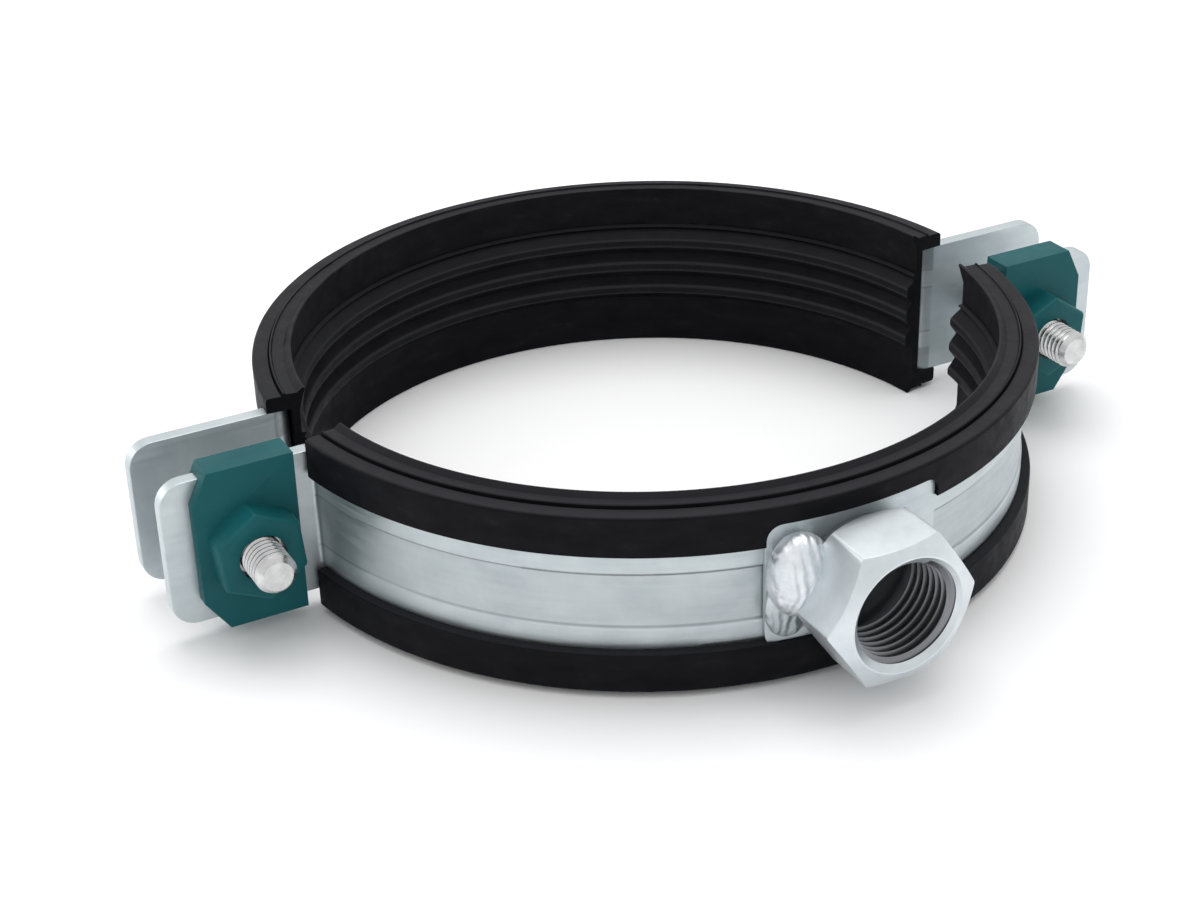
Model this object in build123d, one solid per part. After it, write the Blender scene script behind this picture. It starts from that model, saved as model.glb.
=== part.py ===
"""Two-part rubber lined pipe clamp with a welded connection nut.

Two pressed steel half bands carry an EPDM lining and are drawn together over a
pipe by two M8 bolts that screw into nuts held captive in plastic nut holders.

Frame: origin at the centre of the ring at half its height, +Z along the pipe,
+X through the right-hand ears, -Y towards the connection nut. Millimetres.
"""
from build123d import *
from math import cos, radians, sqrt, tan
import os

# The pipe and the radial build-up of lining and band, from the inside out
pipe_r = 69.85
rib_stand = 2.65
pad_thickness = 1.5
band_thickness = 3.0
lip_thickness = 2.0

# Steel half band
band_width = 30.0
ear_gap = 15.0
ear_length = 29.5
ear_corner_r = 5.0
ear_bend_r = 1.0
recess_width = 11.0
recess_depth = 0.4

# Rubber lining
edge_cover = 3.1
lip_height = 8.1
front_end_angle = 8.6
rear_end_angle = 5.3
lip_bend_gap = 0.2
rib_count = 3
rib_pitch = 5.9
rib_tip_width = 1.5
valley_lift = 1.1
inner_lip_lean = 1.4
inner_lip_rise = 1.1
inner_lip_foot = 3.2

# Saddle plate under the connection nut
saddle_length = 36.0
saddle_thickness = 1.2
saddle_top = 14.2
saddle_bottom = -9.0
saddle_corner_r = 2.8
lip_cutout_clearance = 0.2

# Connection nut, G 1/2 internal thread modelled at its minor radius
connection_across_flats = 27.0
connection_length = 16.3
connection_turn = 3.5
connection_thread_r = 9.3
connection_mouth_r = 10.6
connection_collar_r = 12.2
connection_collar_height = 2.6
connection_floor = 1.2
connection_chamfer = 0.3
connection_chamfer_angle = 20.0

# Weld beads at the foot of two of the nut's flats
weld_leg = 5.5
weld_length = 14.0

# M8 bolts and locking nuts
bolt_from_ring = 13.5
bolt_r = 4.0
bolt_length = 37.0
bolt_head_height = 5.3
bolt_hole_clearance = 0.5
hex_across_flats = 13.0
hex_turn = 5.0
locking_nut_height = 6.5
thread_clearance = 0.1

# Plastic nut holder
holder_from_ring = 4.0
holder_width = 20.0
holder_plate = 2.8
holder_top_wall = 2.0
holder_bottom_wall = 1.3
holder_hook_depth = 0.8
holder_hook_drop = 0.6
holder_fit = 0.1
holder_top_bevel_x = 3.2
holder_top_bevel_z = 6.5
holder_bottom_bevel_x = 4.5
holder_bottom_bevel_z = 6.5
housing_wall = 1.65
housing_height = 5.6
housing_bevel = 0.8
holder_bolt_clearance = 0.6

# Radii and levels that follow from the sizes above
pad_r = pipe_r + rib_stand
band_inner_r = pad_r + pad_thickness
band_outer_r = band_inner_r + band_thickness
lining_outer_r = band_outer_r + lip_thickness
half_band_width = band_width / 2
lining_top = half_band_width + edge_cover
ear_inner_y = ear_gap / 2
ear_outer_y = ear_inner_y + band_thickness
ear_reach = band_outer_r + ear_length
bolt_offset = band_outer_r + bolt_from_ring
holder_inner_x = band_outer_r + holder_from_ring
holder_outer_x = holder_inner_x + holder_width
saddle_outer_r = band_outer_r + saddle_thickness
connection_face_y = saddle_outer_r + connection_length
holder_face_y = ear_outer_y + holder_plate
housing_face_y = holder_face_y + housing_height
beyond = 2 * ear_reach
corner_up = 30.0


def box_between(x0, x1, y0, y1, z0, z1):
    """A box given by its lowest and highest corners."""
    return Pos((x0 + x1) / 2, (y0 + y1) / 2, (z0 + z1) / 2) * Box(x1 - x0, y1 - y0, z1 - z0)


def along_minus_y(shape, y):
    """Stand a shape built on the XY plane at y, its +Z turned to -Y and its +Y to +Z."""
    return Pos(0, y, 0) * Rot(90, 0, 0) * shape


def rear(shape):
    """The same piece turned half a turn about the pipe, for the rear half."""
    return Rot(0, 0, 180) * shape


def hexagon(across_flats, turn):
    """A hexagon with its corners left and right, turned by an angle."""
    return Rot(0, 0, turn) * RegularPolygon(across_flats / 2, 6, major_radius=False)


def hex_prism(across_flats, height, turn, bevel, bevel_angle):
    """A hexagon bar whose far end is turned to a chamfer."""
    face_r = across_flats / 2 - bevel
    cone = Cone(face_r + height / tan(radians(bevel_angle)), face_r, height)
    return extrude(hexagon(across_flats, turn), height) & Pos(0, 0, height / 2) * cone


def near(vertices, x, y):
    """The vertices at x or -x on a level y."""
    return [v for v in vertices if abs(abs(v.X) - x) < 0.1 and abs(v.Y - y) < 0.1]


def recess():
    """What the press sinks along the middle of the band's outer face.

    Its floor has the band's own radius but lies off centre by its depth, so
    that the recess runs out towards both ears.
    """
    ring = Circle(lining_outer_r) - Pos(0, recess_depth) * Circle(band_outer_r)
    below_bends = Pos(0, -ear_outer_y - 2 * ear_bend_r - beyond / 2) * Rectangle(beyond, beyond)
    return extrude(ring & below_bends, recess_width / 2, both=True)


def half_band():
    """Half ring with an ear turned outward at each end, pressed from one strip."""
    ring = Circle(band_outer_r) - Circle(band_inner_r)
    strip = ring & Pos(0, -ear_inner_y - beyond / 2) * Rectangle(beyond, beyond)
    inner_corner = sqrt(band_inner_r**2 - ear_inner_y**2)
    outer_corner = sqrt(band_outer_r**2 - ear_outer_y**2)
    ear_mid_y = -(ear_inner_y + ear_outer_y) / 2
    for side in (-1, 1):
        ear_mid_x = side * (inner_corner + ear_reach) / 2
        strip += Pos(ear_mid_x, ear_mid_y) * Rectangle(ear_reach - inner_corner, band_thickness)
    strip = fillet(near(strip.vertices(), inner_corner, -ear_inner_y), ear_bend_r + band_thickness)
    strip = fillet(near(strip.vertices(), outer_corner, -ear_outer_y), ear_bend_r)
    band = extrude(strip, half_band_width, both=True)

    corners = [e for e in band.edges().filter_by(Axis.Y) if abs(e.center().X) > ear_reach - ear_corner_r]
    band = fillet(corners, ear_corner_r)
    band -= recess()
    for side in (-1, 1):
        hole = Cylinder(bolt_r + bolt_hole_clearance, beyond, rotation=(90, 0, 0))
        band -= Pos(side * bolt_offset, 0, 0) * hole
    return band


def lining_profile():
    """Section of the rubber extrusion: ribbed pad, C-shaped edges and sealing lips."""
    half_tip = rib_tip_width / 2
    half_zone = rib_pitch * rib_count / 2
    section = [(pad_r, -half_zone)]
    for i in range(rib_count):
        z = (i - (rib_count - 1) / 2) * rib_pitch
        if i > 0:
            section.append((pad_r - valley_lift, z - rib_pitch / 2))
        section += [(pipe_r, z - half_tip), (pipe_r, z + half_tip)]
    section.append((pad_r, half_zone))
    edge = [
        (pad_r, lining_top - inner_lip_foot),
        (pad_r - inner_lip_lean, lining_top + inner_lip_rise),
        (lining_outer_r, lining_top),
        (lining_outer_r, lining_top - lip_height),
        (band_outer_r, lining_top - lip_height),
        (band_outer_r, half_band_width),
        (band_inner_r, half_band_width),
    ]
    section += edge
    section += [(r, -z) for r, z in reversed(edge)]
    return Plane.XZ * make_face(Polyline(section, close=True))


def half_lining(end_angle):
    """Rubber profile slipped over both edges of the front band.

    Its ends are cut square at an angle short of the parting plane, and its
    outer lips are cut back to leave the bends of the ears free.
    """
    ring = revolve(lining_profile(), Axis.Z, 180 - 2 * end_angle)
    ring = Rot(0, 0, end_angle - 180) * ring
    bend_y = ear_outer_y + ear_bend_r + lip_bend_gap
    at_bends = box_between(-beyond, beyond, -bend_y, bend_y, -half_band_width, half_band_width)
    return ring - (at_bends - Cylinder(band_outer_r, beyond))


def saddle_outline(grow):
    """Rounded outline of the saddle, grown all round, as a bar that reaches through the band."""
    height = saddle_top - saddle_bottom
    outline = RectangleRounded(saddle_length + 2 * grow, height + 2 * grow, saddle_corner_r + grow)
    bar = extrude(outline, beyond)
    return along_minus_y(Pos(0, (saddle_top + saddle_bottom) / 2) * bar, 0)


def saddle_plate():
    """Curved plate that spreads the nut's load over the band."""
    shell = Cylinder(saddle_outer_r, beyond) - Cylinder(band_outer_r, beyond)
    return shell & saddle_outline(0)


def lip_cutout():
    """What is cut from the lining's outer lips to clear the saddle and the nut's round collar."""
    collar = extrude(Circle(connection_collar_r + lip_cutout_clearance), beyond)
    bar = saddle_outline(lip_cutout_clearance) + along_minus_y(collar, 0)
    return bar - Cylinder(band_outer_r, beyond)


def nut_blank():
    """The connection nut before it is bored: a hexagon on a round collar, standing on Z = 0."""
    hexagon_length = connection_length - connection_collar_height
    body = hex_prism(
        connection_across_flats, hexagon_length, connection_turn, connection_chamfer, connection_chamfer_angle
    )
    collar = extrude(Circle(connection_collar_r), connection_collar_height, both=True)
    return collar + Pos(0, 0, connection_collar_height) * body


def connection_nut():
    """Welded nut with a blind G 1/2 thread countersunk at its mouth, its foot shaped to the saddle."""
    mouth_depth = connection_mouth_r - connection_thread_r
    mouth = Cone(connection_thread_r, connection_mouth_r, mouth_depth)
    bore = extrude(Circle(connection_thread_r), connection_length)
    body = nut_blank() - Pos(0, 0, connection_floor) * bore
    body -= Pos(0, 0, connection_length - mouth_depth / 2) * mouth
    return along_minus_y(body, -saddle_outer_r) - Cylinder(saddle_outer_r, beyond)


def weld_bead(flat_angle):
    """Weld metal in the corner between one flat of the nut and the saddle."""
    flat_x = connection_across_flats / 2
    bead = Pos(flat_x, 0, 0) * Rot(90, 0, 0) * Cylinder(weld_leg, weld_length)
    bead = along_minus_y(Rot(0, 0, flat_angle + connection_turn) * bead, 0)
    foot_x = flat_x * cos(radians(flat_angle + connection_turn))
    bead = Pos(0, -sqrt(saddle_outer_r**2 - foot_x**2), 0) * bead
    bead -= Cylinder(saddle_outer_r, beyond)
    bead -= along_minus_y(nut_blank(), -saddle_outer_r)
    return bead & saddle_outline(0)


def nut_holder():
    """Moulded holder on the right front ear: plate, edge hooks and hexagonal housing."""
    top = half_band_width + holder_top_wall
    bottom = -half_band_width - holder_bottom_wall
    outline = Polyline(
        (holder_inner_x, bottom),
        (holder_outer_x - holder_bottom_bevel_x, bottom),
        (holder_outer_x, bottom + holder_bottom_bevel_z),
        (holder_outer_x, top - holder_top_bevel_z),
        (holder_outer_x - holder_top_bevel_x, top),
        (holder_inner_x, top),
        close=True,
    )
    back_y = ear_inner_y - holder_fit - holder_hook_depth
    block = extrude(make_face(outline), holder_face_y - back_y)
    holder = along_minus_y(block, -back_y)

    slot = half_band_width + holder_fit
    hooked = slot - holder_hook_drop
    holder -= box_between(0, beyond, -ear_outer_y, -ear_inner_y + holder_fit, -slot, slot)
    holder -= box_between(0, beyond, -ear_outer_y, 0, -hooked, hooked)

    housing = extrude(hexagon(hex_across_flats + 2 * housing_wall, corner_up - hex_turn), housing_height)
    housing = chamfer(housing.faces().sort_by(Axis.Z)[-1].edges(), housing_bevel)
    holder += along_minus_y(Pos(bolt_offset, 0, 0) * housing, -holder_face_y)
    pocket = hexagon(hex_across_flats + 2 * holder_fit, corner_up - hex_turn)
    pocket = extrude(pocket, locking_nut_height + holder_fit)
    holder -= along_minus_y(Pos(bolt_offset, 0, 0) * pocket, -ear_outer_y)
    hole = extrude(Circle(bolt_r + holder_bolt_clearance), beyond)
    return holder - along_minus_y(Pos(bolt_offset, 0, 0) * hole, -ear_outer_y)


def locking_nut():
    """M8 nut held captive between the holder and the right front ear."""
    nut = extrude(hexagon(hex_across_flats, corner_up - hex_turn), locking_nut_height)
    nut -= Cylinder(bolt_r + thread_clearance, beyond)
    return along_minus_y(Pos(bolt_offset, 0, 0) * nut, -ear_outer_y)


def bolt():
    """M8 hexagon bolt from the back of the right rear ear through both ears."""
    shank = extrude(Circle(bolt_r), bolt_length)
    head = extrude(hexagon(hex_across_flats, -hex_turn), -bolt_head_height)
    return along_minus_y(Pos(bolt_offset, 0, 0) * (shank + head), ear_outer_y)


def left(shape):
    """The matching piece on the left-hand side."""
    return mirror(shape, Plane.YZ)


nodes = {
    "front_half_band": half_band(),
    "rear_half_band": rear(half_band()),
    "front_rubber_lining": half_lining(front_end_angle) - lip_cutout(),
    "rear_rubber_lining": rear(half_lining(rear_end_angle)),
    "saddle_plate": saddle_plate(),
    "connection_nut": connection_nut(),
    "left_weld_bead": weld_bead(150),
    "right_weld_bead": weld_bead(-30),
    "left_nut_holder": left(nut_holder()),
    "right_nut_holder": nut_holder(),
    "left_locking_nut": left(locking_nut()),
    "right_locking_nut": locking_nut(),
    "left_bolt": left(bolt()),
    "right_bolt": bolt(),
}

os.makedirs("parts", exist_ok=True)
for name, solid in nodes.items():
    export_step(solid, f"parts/{name}.step")
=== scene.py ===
from math import asin, degrees, hypot, pi, radians, sqrt

import bmesh
import bpy
from mathutils import Matrix, Vector


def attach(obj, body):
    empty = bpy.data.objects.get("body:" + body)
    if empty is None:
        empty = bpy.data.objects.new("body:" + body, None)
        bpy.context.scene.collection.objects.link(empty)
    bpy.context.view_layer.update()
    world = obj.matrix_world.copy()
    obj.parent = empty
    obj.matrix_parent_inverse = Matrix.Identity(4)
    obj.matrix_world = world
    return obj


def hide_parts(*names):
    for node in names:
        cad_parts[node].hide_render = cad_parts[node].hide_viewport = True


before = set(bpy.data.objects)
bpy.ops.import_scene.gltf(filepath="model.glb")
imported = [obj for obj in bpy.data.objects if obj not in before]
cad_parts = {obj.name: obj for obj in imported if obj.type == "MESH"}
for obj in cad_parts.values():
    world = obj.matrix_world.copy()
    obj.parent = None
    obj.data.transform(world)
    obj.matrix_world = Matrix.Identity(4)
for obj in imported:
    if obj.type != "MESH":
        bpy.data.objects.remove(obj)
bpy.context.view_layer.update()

# --- Half bands -----------------------------------------------------------------------------
# Two half rings of 30 x 3 mm steel strip, zinc plated, with an ear turned outward at each end.
# A shallow track is pressed along the middle, and the ears are punched for the side screws.
mm = 0.001
band_outer = 77.0
half_width = 15.0
ear_inner_y, ear_outer_y = 7.5, 10.5
ear_end, ear_bend, ear_corner = 106.5, 1.0, 5
screw_x, ear_hole = 90.5, 4.5
track_rows = (5.2, 5.45, 5.7, 9.5, 9.9)
track_depth, margin_depth = 0.5, 0.3

ear_middle_y = (ear_inner_y + ear_outer_y) / 2
bend_y = ear_outer_y + ear_bend
bend_x = sqrt((band_outer + ear_bend) ** 2 - bend_y**2)
bend_turn = 90 - degrees(asin(bend_y / (band_outer + ear_bend)))


def finish_edit():
    """Leave edit mode with nothing selected, as every new piece starts."""
    if bpy.context.object and bpy.context.object.mode == "EDIT":
        bpy.ops.object.mode_set(mode="OBJECT")
    bpy.ops.object.select_all(action="DESELECT")


def take(piece):
    """Select one piece alone and make it the active one."""
    finish_edit()
    piece.select_set(True)
    bpy.context.view_layer.objects.active = piece


def edit(piece):
    """Open a piece for editing."""
    take(piece)
    bpy.ops.object.mode_set(mode="EDIT")


def new_piece(name):
    """Name the primitive that was just added and open it for editing, with all of it selected."""
    piece = bpy.context.object
    piece.name = piece.data.name = name
    bpy.ops.object.transform_apply()
    bpy.ops.object.mode_set(mode="EDIT")
    bpy.ops.mesh.select_mode(type="VERT")
    bpy.ops.mesh.select_all(action="SELECT")
    return piece


def pick(piece, kind, test):
    """Select only the vertices, edges or faces whose middle, in mm, passes the test."""
    bpy.ops.mesh.select_mode(type=kind)
    bpy.ops.mesh.select_all(action="DESELECT")
    mesh = bmesh.from_edit_mesh(piece.data)
    parts = {"VERT": mesh.verts, "EDGE": mesh.edges, "FACE": mesh.faces}[kind]
    for part in parts:
        corners = [part] if kind == "VERT" else part.verts
        middle = sum((v.co for v in corners), Vector()) / len(corners) / mm
        if test(middle, part):
            part.select_set(True)
    mesh.select_flush_mode()
    bmesh.update_edit_mesh(piece.data)


def slide(x=0, y=0, z=0):
    """Extrude what is selected, in mm."""
    bpy.ops.mesh.extrude_region_move(TRANSFORM_OT_translate={"value": (x * mm, y * mm, z * mm)})


def turn_about(x, y, angle, steps):
    """Sweep what is selected round an upright axis at x, y, to the left for a positive angle."""
    bpy.ops.mesh.spin(
        steps=steps,
        angle=-radians(angle),
        center=(x * mm, y * mm, 0),
        axis=(0, 0, 1),
        use_auto_merge=False,
    )


def face_outwards():
    """Turn all faces of the piece in edit mode outwards."""
    bpy.ops.mesh.select_all(action="SELECT")
    bpy.ops.mesh.normals_make_consistent(inside=False)


def cut(piece, tool, operation="DIFFERENCE"):
    """Apply a boolean with a tool piece and remove the tool."""
    take(piece)
    boolean = piece.modifiers.new("cut", "BOOLEAN")
    boolean.operation, boolean.solver, boolean.object = operation, "EXACT", tool
    bpy.ops.object.modifier_apply(modifier="cut")
    bpy.data.objects.remove(tool)


def drill(piece, x, y, radius, depth, sides=48):
    """Drill a round hole along Y, with the middle of its depth at x, y."""
    finish_edit()
    bpy.ops.mesh.primitive_cylinder_add(
        vertices=sides,
        radius=radius * mm,
        depth=depth * mm,
        location=(x * mm, y * mm, 0),
        rotation=(pi / 2, 0, 0),
    )
    cut(piece, bpy.context.object)


def round_edges(piece, width, segments, angle=35):
    """Round the sharp edges of a piece with an applied bevel."""
    take(piece)
    bevel = piece.modifiers.new("edges", "BEVEL")
    bevel.width, bevel.segments, bevel.angle_limit = width * mm, segments, radians(angle)
    bevel.miter_outer = "MITER_ARC"
    bevel.use_clamp_overlap = True
    bpy.ops.object.modifier_apply(modifier="edges")


def shade(piece, angle=35):
    """Smooth the rounded parts of a finished piece and keep its large faces flat."""
    take(piece)
    bpy.ops.object.shade_smooth_by_angle(angle=radians(angle))
    flat = piece.modifiers.new("flat", "WEIGHTED_NORMAL")
    flat.keep_sharp = True
    bpy.ops.object.modifier_apply(modifier="flat")


def soften(piece, width, segments=2, angle=35):
    """Round the sharp edges of a finished piece and shade it."""
    round_edges(piece, width, segments, angle)
    shade(piece, angle)


# The strip's end is drawn at the left ear's tip and swept through both bends to the right one.
finish_edit()
bpy.ops.mesh.primitive_plane_add(
    size=1, location=(-ear_end * mm, -ear_middle_y * mm, 0), rotation=(0, pi / 2, 0)
)
bpy.context.object.scale = (2 * half_width * mm, (ear_outer_y - ear_inner_y) * mm, 1)
band = new_piece("front_band")
for row in track_rows:
    for side in (-1, 1):
        bpy.ops.mesh.select_all(action="SELECT")
        bpy.ops.mesh.bisect(plane_co=(0, 0, side * row * mm), plane_no=(0, 0, 1))
bpy.ops.mesh.select_all(action="SELECT")
slide(x=ear_end - bend_x)
turn_about(-bend_x, -bend_y, -bend_turn, 10)
turn_about(0, 0, 2 * bend_turn, 144)
turn_about(bend_x, -bend_y, -bend_turn, 10)
slide(x=ear_end - bend_x)
face_outwards()


def press(low, high, depth):
    """Press the ring's outer face inward between two heights, on both sides of its middle."""
    pick(
        band,
        "VERT",
        lambda p, v: low - 0.01 <= abs(p.z) <= high + 0.01
        and p.y < -bend_y - 2
        and hypot(p.x, p.y) > band_outer - 0.1,
    )
    bpy.ops.transform.translate(value=(0, depth * mm, 0))


press(0, track_rows[0], track_depth)
press(track_rows[1], track_rows[1], track_depth / 2)
press(track_rows[4], half_width, margin_depth)
pick(
    band,
    "EDGE",
    lambda p, e: abs(abs(p.x) - ear_end) < 0.1
    and abs(abs(p.z) - half_width) < 0.1
    and abs(p.y + ear_middle_y) < 0.1,
)
bpy.ops.mesh.bevel(offset=ear_corner * mm, segments=8, affect="EDGES")
for side in (-1, 1):
    drill(band, side * screw_x, -ear_middle_y, ear_hole, 9)
soften(band, 0.25)


def node(tree, kind, **settings):
    """Add a shader node and set its properties and inputs."""
    made = tree.nodes.new(kind)
    for name, value in settings.items():
        if hasattr(made, name):
            setattr(made, name, value)
        else:
            made.inputs[name.replace("_", " ")].default_value = value
    return made


def new_material(name, colour, metallic, roughness):
    """A material with plain values on its shader, and the Object coordinates to build on."""
    material = bpy.data.materials.new(name)
    material.use_nodes = True
    tree = material.node_tree
    shader = tree.nodes["Principled BSDF"]
    shader.inputs["Base Color"].default_value = (*colour, 1)
    shader.inputs["Metallic"].default_value = metallic
    shader.inputs["Roughness"].default_value = roughness
    place = tree.nodes.new("ShaderNodeTexCoord").outputs["Object"]
    return material, tree, shader, place


def mottle(tree, place, scale, detail, stretch=(1, 1, 1)):
    """Noise on the piece's own coordinates, which may be squeezed along an axis."""
    mapping = node(tree, "ShaderNodeMapping")
    mapping.inputs["Scale"].default_value = stretch
    tree.links.new(place, mapping.inputs["Vector"])
    noise = node(tree, "ShaderNodeTexNoise", Scale=scale, Detail=detail, Roughness=0.6)
    tree.links.new(mapping.outputs["Vector"], noise.inputs["Vector"])
    return noise.outputs["Fac"]


def ramp(tree, factor, stops):
    """Colours from a factor: stops are pairs of a place and a colour or a plain value."""
    colours = node(tree, "ShaderNodeValToRGB")
    tree.links.new(factor, colours.inputs["Fac"])
    elements = colours.color_ramp.elements
    while len(elements) < len(stops):
        elements.new(0.5)
    for element, (at, value) in zip(elements, stops):
        element.position = at
        element.color = (*value, 1) if isinstance(value, tuple) else (value, value, value, 1)
    return colours.outputs["Color"]


def spread(tree, value, low, high):
    """A length as a factor, from 0 at low mm to 1 at high mm."""
    scale = node(tree, "ShaderNodeMapRange", From_Min=low * mm, From_Max=high * mm)
    tree.links.new(value, scale.inputs["Value"])
    return scale.outputs["Result"]


def distance(tree, place, axes, low, high):
    """How far a point lies from the piece's origin along the axes given, as a factor."""
    along = node(tree, "ShaderNodeVectorMath", operation="MULTIPLY")
    along.inputs[1].default_value = axes
    tree.links.new(place, along.inputs[0])
    length = node(tree, "ShaderNodeVectorMath", operation="LENGTH")
    tree.links.new(along.outputs["Vector"], length.inputs[0])
    return spread(tree, length.outputs["Value"], low, high)


def blend(tree, factor, under, over, kind="MIX"):
    """Lay one colour over another. Each, and the factor, is an output or a plain value."""
    mix = node(tree, "ShaderNodeMix", data_type="RGBA", blend_type=kind)
    for name, value in (("Factor", factor), ("A", under), ("B", over)):
        if isinstance(value, bpy.types.NodeSocket):
            tree.links.new(value, mix.inputs[name])
        else:
            mix.inputs[name].default_value = value
    return mix.outputs["Result"]


def bump(tree, shader, height, strength, depth):
    """Fine relief that only the light shows."""
    relief = node(tree, "ShaderNodeBump", Strength=strength, Distance=depth * mm)
    tree.links.new(height, relief.inputs["Height"])
    tree.links.new(relief.outputs["Normal"], shader.inputs["Normal"])


def dress(piece, material):
    """Give a piece one material."""
    piece.data.materials.clear()
    piece.data.materials.append(material)


# The zinc is a bluish grey coat, a little blotched, with faint streaks along the strip.
zinc, tree, shader, place = new_material("zinc_plated_steel", (0.49, 0.54, 0.56), 0.85, 0.42)
coat = ramp(
    tree,
    mottle(tree, place, 110, 5),
    [(0.3, (0.49, 0.54, 0.57)), (0.5, (0.54, 0.595, 0.615)), (0.7, (0.59, 0.64, 0.655))],
)
streaks = mottle(tree, place, 160, 5, (0.4, 0.4, 7))
tree.links.new(ramp(tree, streaks, [(0.3, 0.32), (0.7, 0.54)]), shader.inputs["Roughness"])
bump(tree, shader, streaks, 0.22, 0.08)
# Painted shade darkens the creases beside the track and the margins next to the lips, and the
# track's floor is a little darker, on the ring's outer face alone.
crease_shade = ramp(
    tree,
    distance(tree, place, (0, 0, 1), 0, 10),
    [(0.5, 0.9), (0.535, 0.64), (0.575, 1.0), (0.91, 0.97), (0.955, 0.66)],
)
on_ring = ramp(tree, distance(tree, place, (1, 1, 0), 77, 79), [(0.2, 1.0), (0.4, 0.0)])
tree.links.new(blend(tree, on_ring, coat, crease_shade, "MULTIPLY"), shader.inputs["Base Color"])


def twin(piece, name):
    """A copy of a finished piece, with its own mesh."""
    take(piece)
    bpy.ops.object.duplicate()
    copy = bpy.context.object
    copy.name = copy.data.name = name
    return copy


def set_to_rear(piece):
    """Turn a piece half a turn about the pipe, from the front half to the rear one."""
    take(piece)
    piece.rotation_euler = (0, 0, pi)
    bpy.ops.object.transform_apply()


dress(band, zinc)
rear_band = twin(band, "rear_band")
set_to_rear(rear_band)
for piece, body, cad in (
    (band, "front_half", "front_half_band"),
    (rear_band, "rear_half", "rear_half_band"),
):
    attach(piece, body)
    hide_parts(cad)

# --- Rubber linings --------------------------------------------------------------------------
# One black rubber extrusion for each half: a ribbed pad, edges that hook over the band with an
# outer lip, and a thin sealing lip that stands up at each inner edge. It is slipped on by hand.
upper_hook = [
    (72.5, 14.6), (71.1, 19.0), (71.5, 19.2), (72.7, 18.3), (74.9, 18.4), (75.15, 18.75),
    (75.45, 18.6), (75.5, 17.7), (75.85, 18.1), (79.0, 18.1), (79.0, 10.0), (77.0, 10.0),
    (77.0, 15.0), (74.0, 15.0),
]
lower_hook = [(r, -z) for r, z in reversed(upper_hook)]
top_fin = [(72.2, 8.6), (71.55, 9.3), (71.8, 9.55), (72.5, 9.7)]
ribs = [
    (72.5, -8.85), (69.85, -6.65), (69.85, -5.15), (71.4, -2.95), (69.85, -0.75),
    (69.85, 0.75), (71.4, 2.95), (69.85, 5.15), (69.85, 6.65),
]
lining_section = top_fin + upper_hook + lower_hook + ribs
rib_tip, rib_valley, hook_outer = 69.85, 71.4, 79.0
front_end_angle, rear_end_angle = 8.6, 5.3
ear_notch_x, ear_notch = 78, (5, 23.4, 30)
window_width, window_height, window_middle_z, window_corner = 36.4, 24.8, 2.0, 3
window_inner_y, window_depth = -74.6, 5.9
collar_hole = 12.4


def draw_line(name, places):
    """Draw a line from place to place, in mm, and leave it open for editing."""
    finish_edit()
    bpy.ops.mesh.primitive_plane_add(size=mm, location=[along * mm for along in places[0]])
    piece = new_piece(name)
    bpy.ops.mesh.merge(type="CENTER")
    for (x0, y0, z0), (x1, y1, z1) in zip(places, places[1:]):
        slide(x1 - x0, y1 - y0, z1 - z0)
    bpy.ops.mesh.select_all(action="SELECT")
    return piece


def draw_section(name, points, y=0):
    """Draw a closed section, given as x and z in mm, and fill it."""
    piece = draw_line(name, [(x, y, z) for x, z in points])
    bpy.ops.mesh.edge_face_add()
    return piece


def round_corners(piece, offset, test, segments=3):
    """Round the corners of a flat section that pass the test."""
    pick(piece, "VERT", test)
    bpy.ops.mesh.bevel(offset=offset * mm, segments=segments, affect="VERTICES")


def cut_box(piece, middle, size):
    """Cut a box out of a piece, with its middle and size in mm."""
    finish_edit()
    bpy.ops.mesh.primitive_cube_add(size=1, location=[along * mm for along in middle])
    bpy.context.object.scale = [length * mm for length in size]
    cut(piece, bpy.context.object)


def lining(name, end_angle):
    """Sweep the section round the front half, short of the ears' line by an angle."""
    piece = draw_section(name, lining_section)
    round_corners(piece, 0.7, lambda p, v: p.x > hook_outer - 0.1 and abs(p.z) > 18)
    round_corners(piece, 0.35, lambda p, v: p.x > hook_outer - 0.1 and abs(p.z) < 10.1)
    round_corners(piece, 0.3, lambda p, v: p.x < rib_tip + 0.05)
    round_corners(piece, 0.15, lambda p, v: abs(p.x - rib_valley) < 0.05 and abs(p.z) < 3)
    round_corners(piece, 0.14, lambda p, v: 71 < p.x < 71.6 and abs(p.z) > 19)
    bpy.ops.mesh.select_all(action="SELECT")
    bpy.ops.transform.rotate(value=radians(end_angle), orient_axis="Z", center_override=(0, 0, 0))
    turn_about(0, 0, -(180 - 2 * end_angle), 160)
    face_outwards()
    finish_edit()
    return piece


front_lining = lining("front_lining", front_end_angle)
rear_lining = lining("rear_lining", rear_end_angle)
# The rear lining reaches nearer to the front one, so it is notched where the ears come out.
for side in (-1, 1):
    cut_box(rear_lining, (side * ear_notch_x, 0, 0), ear_notch)
# The front lining has a window for the saddle plate, and its pad is cut for the nut's collar.
finish_edit()
bpy.ops.mesh.primitive_plane_add(
    size=1, location=(0, window_inner_y * mm, window_middle_z * mm), rotation=(pi / 2, 0, 0)
)
bpy.context.object.scale = (window_width * mm, window_height * mm, 1)
window = new_piece("lip_cutter")
round_corners(window, window_corner, lambda p, v: True, 6)
bpy.ops.mesh.select_all(action="SELECT")
slide(y=-window_depth)
face_outwards()
cut(front_lining, window)
drill(front_lining, 0, -77.6, collar_hole, 6, 64)
for piece in (front_lining, rear_lining):
    soften(piece, 0.12, 1)
set_to_rear(rear_lining)

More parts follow.
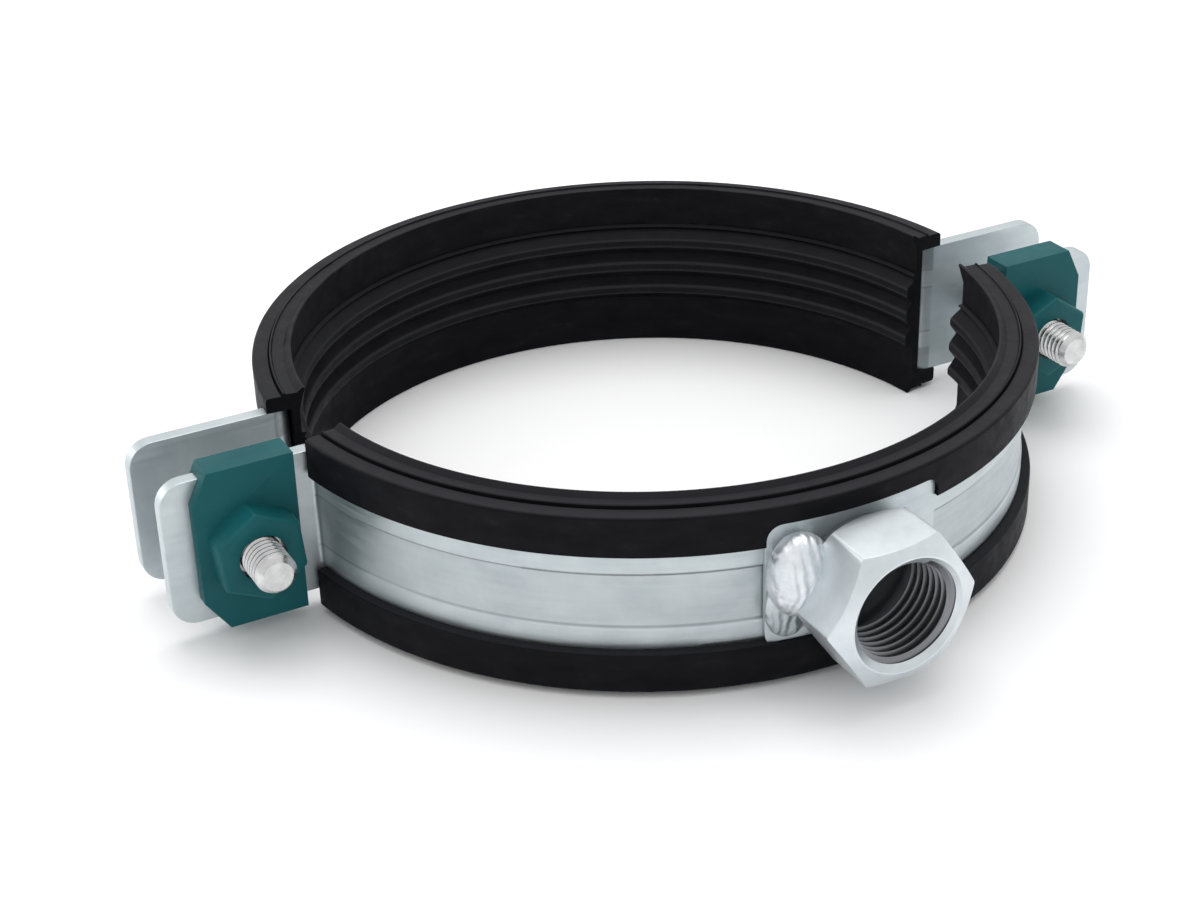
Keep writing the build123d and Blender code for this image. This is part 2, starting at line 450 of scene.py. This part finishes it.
rubber, tree, shader, place = new_material("black_rubber", (0.006, 0.006, 0.008), 0.0, 0.5)
shader.inputs["Specular IOR Level"].default_value = 0.07
skin = ramp(
    tree,
    mottle(tree, place, 120, 6, (1, 1, 3)),
    [(0.35, (0.004, 0.004, 0.0055)), (0.62, (0.007, 0.007, 0.0095)), (0.85, (0.018, 0.018, 0.022))],
)
# The ribs' tips are painted greyer, a painted highlight along each ridge.
rib_tip_highlight = ramp(
    tree,
    distance(tree, place, (1, 1, 0), 69.5, 71.5),
    [(0.17, 0.0), (0.2, 1.0), (0.3, 1.0), (0.4, 0.0)],
)
skin = blend(tree, rib_tip_highlight, skin, (0.026, 0.026, 0.030, 1))
# What faces up is painted lighter, as painted light falling from above.
facing = node(tree, "ShaderNodeSeparateXYZ")
tree.links.new(tree.nodes["Texture Coordinate"].outputs["Normal"], facing.inputs["Vector"])
light_from_above = ramp(tree, facing.outputs["Z"], [(0.55, 0.0), (0.95, 1.0)])
skin = blend(tree, light_from_above, skin, (0.020, 0.020, 0.024, 1))
tree.links.new(skin, shader.inputs["Base Color"])
matt = ramp(tree, mottle(tree, place, 300, 4), [(0.3, 0.42), (0.7, 0.6)])
tree.links.new(matt, shader.inputs["Roughness"])
bump(tree, shader, mottle(tree, place, 1500, 3), 0.3, 0.04)
for piece, body, cad in (
    (front_lining, "front_half", "front_rubber_lining"),
    (rear_lining, "rear_half", "rear_rubber_lining"),
):
    dress(piece, rubber)
    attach(piece, body)
    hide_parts(cad)

# --- Saddle plate ----------------------------------------------------------------------------
# A rolled plate of zinc plated steel with rounded corners, laid on the front band and over its
# track, which spreads the load of the connection nut that is welded on it.
saddle_outer, saddle_thick, saddle_half = 78.2, 1.2, 18.0
saddle_low, saddle_high, saddle_corner = -10.2, 14.2, 2.8
saddle_middle_y = -(saddle_outer - saddle_thick / 2)
saddle_middle_z = (saddle_low + saddle_high) / 2
saddle_turn = degrees(asin(saddle_half / saddle_outer))

finish_edit()
bpy.ops.mesh.primitive_plane_add(
    size=1, location=(0, saddle_middle_y * mm, saddle_middle_z * mm), rotation=(0, pi / 2, 0)
)
bpy.context.object.scale = ((saddle_high - saddle_low) * mm, saddle_thick * mm, 1)
saddle = new_piece("saddle")
bpy.ops.transform.rotate(value=radians(saddle_turn), orient_axis="Z", center_override=(0, 0, 0))
turn_about(0, 0, 2 * saddle_turn, 40)
face_outwards()
pick(
    saddle,
    "EDGE",
    lambda p, e: abs(p.x) > saddle_half - 0.6
    and min(abs(p.z - saddle_low), abs(p.z - saddle_high)) < 0.1
    and abs(e.verts[0].co.z - e.verts[1].co.z) < 1e-5
    and abs(hypot(*e.verts[0].co.xy) - hypot(*e.verts[1].co.xy)) > 0.5 * mm,
)
bpy.ops.mesh.bevel(offset=saddle_corner * mm, segments=6, affect="EDGES")
soften(saddle, 0.3)
dress(saddle, zinc)
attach(saddle, "front_half")
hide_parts("saddle_plate")

# --- Connection nut --------------------------------------------------------------------------
# A 27 mm hexagon turned down to a round collar at its foot and tapped G 1/2 with a countersunk
# mouth. It is machined from bar, zinc plated and welded on the saddle plate.
nut_across, nut_turn, nut_face, collar = 27, 3.5, -94.5, 12.2
thread_root, thread_crest, thread_pitch = 10.5, 9.3, 1.814
thread_start, thread_turns, bore_end = -79.9, 9, -79.4
ridge_sink = 0.08


def lathe(name, points, centre_x=0, steps=96):
    """Turn a section, given as radius and y in mm, round an axis along Y at centre_x."""
    piece = draw_line(name, [(centre_x + r, y, 0) for r, y in points])
    bpy.ops.mesh.spin(steps=steps, angle=2 * pi, center=(centre_x * mm, 0, 0), axis=(0, 1, 0))
    bpy.ops.mesh.select_all(action="SELECT")
    bpy.ops.mesh.remove_doubles(threshold=0.001 * mm)
    bpy.ops.mesh.normals_make_consistent(inside=False)
    finish_edit()
    return piece


def hexagon_bar(name, across, y0, y1, turn, centre_x=0, edge=0.3):
    """A hexagon bar along Y, turned by an angle, with its long edges broken."""
    finish_edit()
    bpy.ops.mesh.primitive_cylinder_add(
        vertices=6,
        radius=across / sqrt(3) * mm,
        depth=abs(y1 - y0) * mm,
        location=(centre_x * mm, (y0 + y1) / 2 * mm, 0),
        rotation=(pi / 2, radians(30 - turn), 0),
    )
    piece = new_piece(name)
    pick(piece, "EDGE", lambda p, e: abs(p.y - (y0 + y1) / 2) < 0.1)
    bpy.ops.mesh.bevel(offset=edge * mm, segments=3, affect="EDGES")
    finish_edit()
    return piece


def thread_ridge(name, x, y_start, turns, pitch, root, crest, steps=56):
    """One helical ridge along -Y, swept from a small open section and closed at both ends."""
    half_foot, half_tip = 0.44 * pitch, 0.09 * pitch
    piece = draw_line(
        name,
        [(root, 0, -half_foot), (crest, 0, -half_tip), (crest, 0, half_tip), (root, 0, half_foot)],
    )
    bpy.ops.mesh.edge_face_add()
    bpy.ops.mesh.delete(type="ONLY_FACE")
    take(piece)
    helix = piece.modifiers.new("helix", "SCREW")
    helix.axis, helix.screw_offset, helix.iterations = "Z", pitch * mm, turns
    helix.steps = helix.render_steps = steps
    helix.use_merge_vertices = True
    bpy.ops.object.modifier_apply(modifier="helix")
    piece.rotation_euler = (pi / 2, 0, 0)
    piece.location = (x * mm, y_start * mm, 0)
    bpy.ops.object.transform_apply()
    edit(piece)
    bpy.ops.mesh.select_all(action="SELECT")
    bpy.ops.mesh.fill_holes(sides=8)
    face_outwards()
    finish_edit()
    return piece


# Each bar runs on past its turned blank and each blank past its bar, so that no ends coincide.
nut = hexagon_bar("connection_nut_threaded", nut_across, -76.5, -96, nut_turn, edge=0.45)
turned = [
    (0, -76), (collar, -76), (collar, -80.0), (13.0, -80.3), (15.7, -82.6), (15.7, -92.2),
    (11.6, nut_face), (0, nut_face),
]
cut(nut, lathe("turned_blank", turned), "INTERSECT")
finish_edit()
bpy.ops.mesh.primitive_cylinder_add(vertices=256, radius=saddle_outer * mm, depth=60 * mm)
cut(nut, bpy.context.object)
round_edges(nut, 0.24, 1)
bore = [(0, bore_end), (thread_root, bore_end), (thread_root, -96), (0, -96)]
cut(nut, lathe("bore", bore))
ridge = thread_ridge(
    "nut_thread",
    0,
    thread_start,
    thread_turns,
    thread_pitch,
    thread_root + ridge_sink,
    thread_crest,
)
cut(nut, ridge, "UNION")
mouth = [(0, -91.2), (8.6, -91.8), (11.9, -95.1), (14, -98.5), (0, -98.5)]
cut(nut, lathe("mouth", mouth))
bpy.ops.object.shade_smooth_by_angle(angle=radians(13))

nut_zinc, tree, shader, place = new_material("zinc_plated_nut", (0.68, 0.73, 0.76), 0.8, 0.36)
coat = ramp(
    tree,
    mottle(tree, place, 220, 6),
    [(0.3, (0.62, 0.67, 0.70)), (0.55, (0.68, 0.73, 0.76)), (0.75, (0.73, 0.775, 0.80))],
)
# Its foot is painted darker, as painted shade in the corner against the saddle.
foot_shade = ramp(
    tree, distance(tree, place, (0, 1, 0), 78, 84), [(0.2, 0.25), (0.4, 0.5), (0.75, 1.0)]
)
tree.links.new(blend(tree, 1.0, coat, foot_shade, "MULTIPLY"), shader.inputs["Base Color"])
bump(tree, shader, mottle(tree, place, 700, 3), 0.25, 0.04)
dress(nut, nut_zinc)
# The thread is given a darker metal than the outside, as painted shade inside the bore.
thread_shade, tree, shader, place = new_material("thread_painted_shade", (0.22, 0.225, 0.24), 0.9, 0.3)
bump(tree, shader, mottle(tree, place, 900, 3), 0.2, 0.03)
nut.data.materials.append(thread_shade)
edit(nut)
pick(
    nut,
    "FACE",
    lambda p, f: max(hypot(v.co.x, v.co.z) for v in f.verts) < 10.7 * mm and p.y < bore_end + 0.1,
)
nut.active_material_index = 1
bpy.ops.object.material_slot_assign()
finish_edit()
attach(nut, "front_half")
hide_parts("connection_nut")

# --- Weld beads ------------------------------------------------------------------------------
# Fillet welds between two sides of the nut's foot and the saddle plate. The left one is a thick
# puddle that runs out thin at its lower end, and both are left bright, as they were laid.
puddles = []
finish_edit()
for middle, reach in (
    ((-13.0, -79.4, 4.6), (6.1, 4.7, 8.2)),
    ((-13.6, -77.2, -2.6), (5.0, 1.6, 6.6)),
):
    bpy.ops.mesh.primitive_uv_sphere_add(
        segments=48, ring_count=32, radius=mm, location=Vector(middle) * mm, scale=reach
    )
    bpy.ops.object.transform_apply()
    puddles.append(bpy.context.object)
thick_puddle, left_weld = puddles
cut(left_weld, thick_puddle, "UNION")
left_weld.name = left_weld.data.name = "left_weld"
merged = left_weld.modifiers.new("merged", "REMESH")
merged.mode, merged.voxel_size = "VOXEL", 0.2 * mm
ripple = left_weld.modifiers.new("ripple", "DISPLACE")
ripple.texture = bpy.data.textures.new("ripple", "CLOUDS")
ripple.texture.noise_scale = 3 * mm
ripple.strength, ripple.mid_level = 0.5 * mm, 0.4
flow = left_weld.modifiers.new("flow", "SMOOTH")
flow.factor, flow.iterations = 0.5, 16
for modifier in ("merged", "ripple", "flow"):
    bpy.ops.object.modifier_apply(modifier=modifier)
bpy.ops.object.shade_smooth()

weld_metal, tree, shader, place = new_material("weld_metal", (0.78, 0.82, 0.85), 0.75, 0.42)
bead = ramp(
    tree, mottle(tree, place, 200, 4), [(0.3, (0.64, 0.69, 0.73)), (0.7, (0.86, 0.89, 0.92))]
)
height = node(tree, "ShaderNodeSeparateXYZ")
tree.links.new(place, height.inputs["Vector"])
low_end = spread(tree, height.outputs["Z"], 1.5, -3.5)
tree.links.new(blend(tree, low_end, bead, (0.46, 0.51, 0.53, 1)), shader.inputs["Base Color"])
swirl = node(tree, "ShaderNodeTexWave", Scale=160, Distortion=7, Detail=3)
tree.links.new(place, swirl.inputs["Vector"])
bump(tree, shader, swirl.outputs["Fac"], 0.6, 0.4)
dress(left_weld, weld_metal)
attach(left_weld, "front_half")
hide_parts("left_weld_bead")
dress(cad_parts["right_weld_bead"], weld_metal)

# --- Nut holders -----------------------------------------------------------------------------
# Teal plastic mouldings that clip over the front ears and keep the locking nuts in a hexagonal
# housing, so that the clamp can be closed with one tool.
holder_outline = [(81, -16.3), (96.5, -16.3), (101, -9.8), (101, 10.5), (97.8, 17), (81, 17)]
holder_back, holder_depth = -6.6, 6.7
slot_x, slot_width, half_ear_slot, half_hook_opening = 91, 24, 15.1, 14.5
housing_across, housing_back, housing_front, housing_turn = 16.3, -12.5, -18.9, 25
pocket_across, pocket_back, pocket_front = 13.2, -10.4, -17.1
screw_hole = 4.6

right_holder = draw_section("right_holder", holder_outline, y=holder_back)
slide(y=-holder_depth)
face_outwards()
# The ear's slot, and the opening between the two hooks that reach behind the ear.
for half_height, depth in ((half_ear_slot, 3.1), (half_hook_opening, 10.5)):
    cut_box(
        right_holder,
        (slot_x, depth / 2 - ear_outer_y, 0),
        (slot_width, depth, 2 * half_height),
    )
housing = hexagon_bar(
    "housing", housing_across, housing_back, housing_front, housing_turn, screw_x, edge=0.5
)
edit(housing)
pick(housing, "FACE", lambda p, f: p.y < housing_front + 0.1)
bpy.ops.mesh.bevel(offset=0.9 * mm, segments=3, affect="EDGES")
cut(right_holder, housing, "UNION")
pocket = hexagon_bar(
    "pocket", pocket_across, pocket_back, pocket_front, housing_turn, screw_x, edge=0.1
)
cut(right_holder, pocket)
drill(right_holder, screw_x, -15, screw_hole, 20)
soften(right_holder, 0.4, 3, 28)

teal, tree, shader, place = new_material("teal_plastic", (0.005, 0.088, 0.098), 0.0, 0.45)
shader.inputs["Specular IOR Level"].default_value = 0.16
tint = ramp(
    tree, mottle(tree, place, 90, 4), [(0.3, (0.004, 0.078, 0.088)), (0.7, (0.006, 0.096, 0.106))]
)
tree.links.new(tint, shader.inputs["Base Color"])
matt = ramp(tree, mottle(tree, place, 400, 4), [(0.3, 0.36), (0.7, 0.5)])
tree.links.new(matt, shader.inputs["Roughness"])
bump(tree, shader, mottle(tree, place, 2200, 2), 0.25, 0.03)
dress(right_holder, teal)

left_holder = twin(right_holder, "left_holder")
left_holder.scale = (-1, 1, 1)
bpy.ops.object.transform_apply()
edit(left_holder)
face_outwards()
finish_edit()
for side, piece in (("right", right_holder), ("left", left_holder)):
    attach(piece, "front_half")
    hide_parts(f"{side}_nut_holder")

# --- Side screws -----------------------------------------------------------------------------
# M8 hexagon screws, rolled thread, bright zinc. Each goes through the rear ear and the front ear
# into its locking nut, and its end stands out of the holder.
screw_core, screw_crest, screw_pitch, screw_end = 3.38, 4.0, 1.25, -26.5
screw_thread_start, screw_turns = 8.5, 29
head_across, head_turn, head_top = 13, 5, 15.8

core = [(0, 11), (screw_core, 11), (screw_core, -28), (0, -28)]
right_screw = lathe("right_screw_piece", core, screw_x, 48)
ridge = thread_ridge(
    "screw_thread",
    screw_x,
    screw_thread_start,
    screw_turns,
    screw_pitch,
    screw_core - ridge_sink,
    screw_crest,
    48,
)
cut(right_screw, ridge, "UNION")
pointed = [(0, 12), (4.4, 12), (4.4, -25.0), (2.9, screw_end), (0, screw_end)]
cut(right_screw, lathe("screw_blank", pointed, screw_x, 64), "INTERSECT")
head = hexagon_bar("head", head_across, 10.5, 17, head_turn, screw_x, edge=0.15)
turned = [(0, 9), (7.6, 9), (7.6, 15.0), (6.1, head_top), (0, head_top)]
cut(head, lathe("head_blank", turned, screw_x, 64), "INTERSECT")
cut(right_screw, head, "UNION")
shade(right_screw)

bright, tree, shader, place = new_material("bright_zinc", (0.62, 0.62, 0.62), 0.95, 0.25)
coat = ramp(
    tree, mottle(tree, place, 300, 4), [(0.3, (0.52, 0.52, 0.52)), (0.7, (0.72, 0.72, 0.72))]
)
tree.links.new(coat, shader.inputs["Base Color"])
polish = ramp(tree, mottle(tree, place, 500, 3), [(0.3, 0.18), (0.7, 0.32)])
tree.links.new(polish, shader.inputs["Roughness"])
bump(tree, shader, mottle(tree, place, 1800, 3), 0.3, 0.04)
dress(right_screw, bright)

left_screw = twin(right_screw, "left_screw_piece")
left_screw.location.x = -2 * screw_x * mm
bpy.ops.object.transform_apply()
for side, piece in (("right", right_screw), ("left", left_screw)):
    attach(piece, f"{side}_screw")
    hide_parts(f"{side}_bolt")
    dress(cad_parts[f"{side}_locking_nut"], bright)

# --- Floor, lights and camera ----------------------------------------------------------------
# A white floor that keeps the clamp's shadow, white surroundings with one soft light overhead
# and one from the rear left, and a long lens from the front left.
floor_z = -19.2
finish_edit()
bpy.ops.mesh.primitive_plane_add(size=6, location=(0, 0, floor_z * mm))
floor = bpy.context.object
floor.name = "floor"
paper, tree, shader, place = new_material("white_paper", (0.97, 0.97, 0.975), 0.0, 0.9)
dress(floor, paper)

world = bpy.data.worlds.new("studio")
bpy.context.scene.world = world
world.use_nodes = True
surroundings = world.node_tree.nodes["Background"]
surroundings.inputs["Color"].default_value = (1, 1, 1, 1)
surroundings.inputs["Strength"].default_value = 0.88


def softbox(name, size, power, place):
    """A square area light that faces the clamp's middle."""
    finish_edit()
    bpy.ops.object.light_add(type="AREA", location=place)
    light = bpy.context.object
    light.name = name
    light.data.size, light.data.energy = size, power
    light.rotation_euler = (-Vector(place)).to_track_quat("-Z", "Y").to_euler()


softbox("overhead", 0.8, 4.5, (0.1, 0.2, 0.95))
softbox("rear_left", 1.0, 7, (-1.3, 1.5, 0.5))
bpy.context.scene.view_settings.view_transform = "Standard"

azimuth, elevation, roll = radians(-27.17), radians(28.34), radians(1.70)
camera_offset = (-9.606 * mm, -9.520 * mm, 458.61 * mm)
finish_edit()
bpy.ops.object.camera_add()
camera = bpy.context.object
camera.matrix_world = (
    Matrix.Rotation(azimuth, 4, "Z")
    @ Matrix.Rotation(pi / 2 - elevation, 4, "X")
    @ Matrix.Translation(camera_offset)
    @ Matrix.Rotation(-roll, 4, "Z")
)
camera.data.lens, camera.data.sensor_width = 66.54, 36
bpy.context.scene.camera = camera
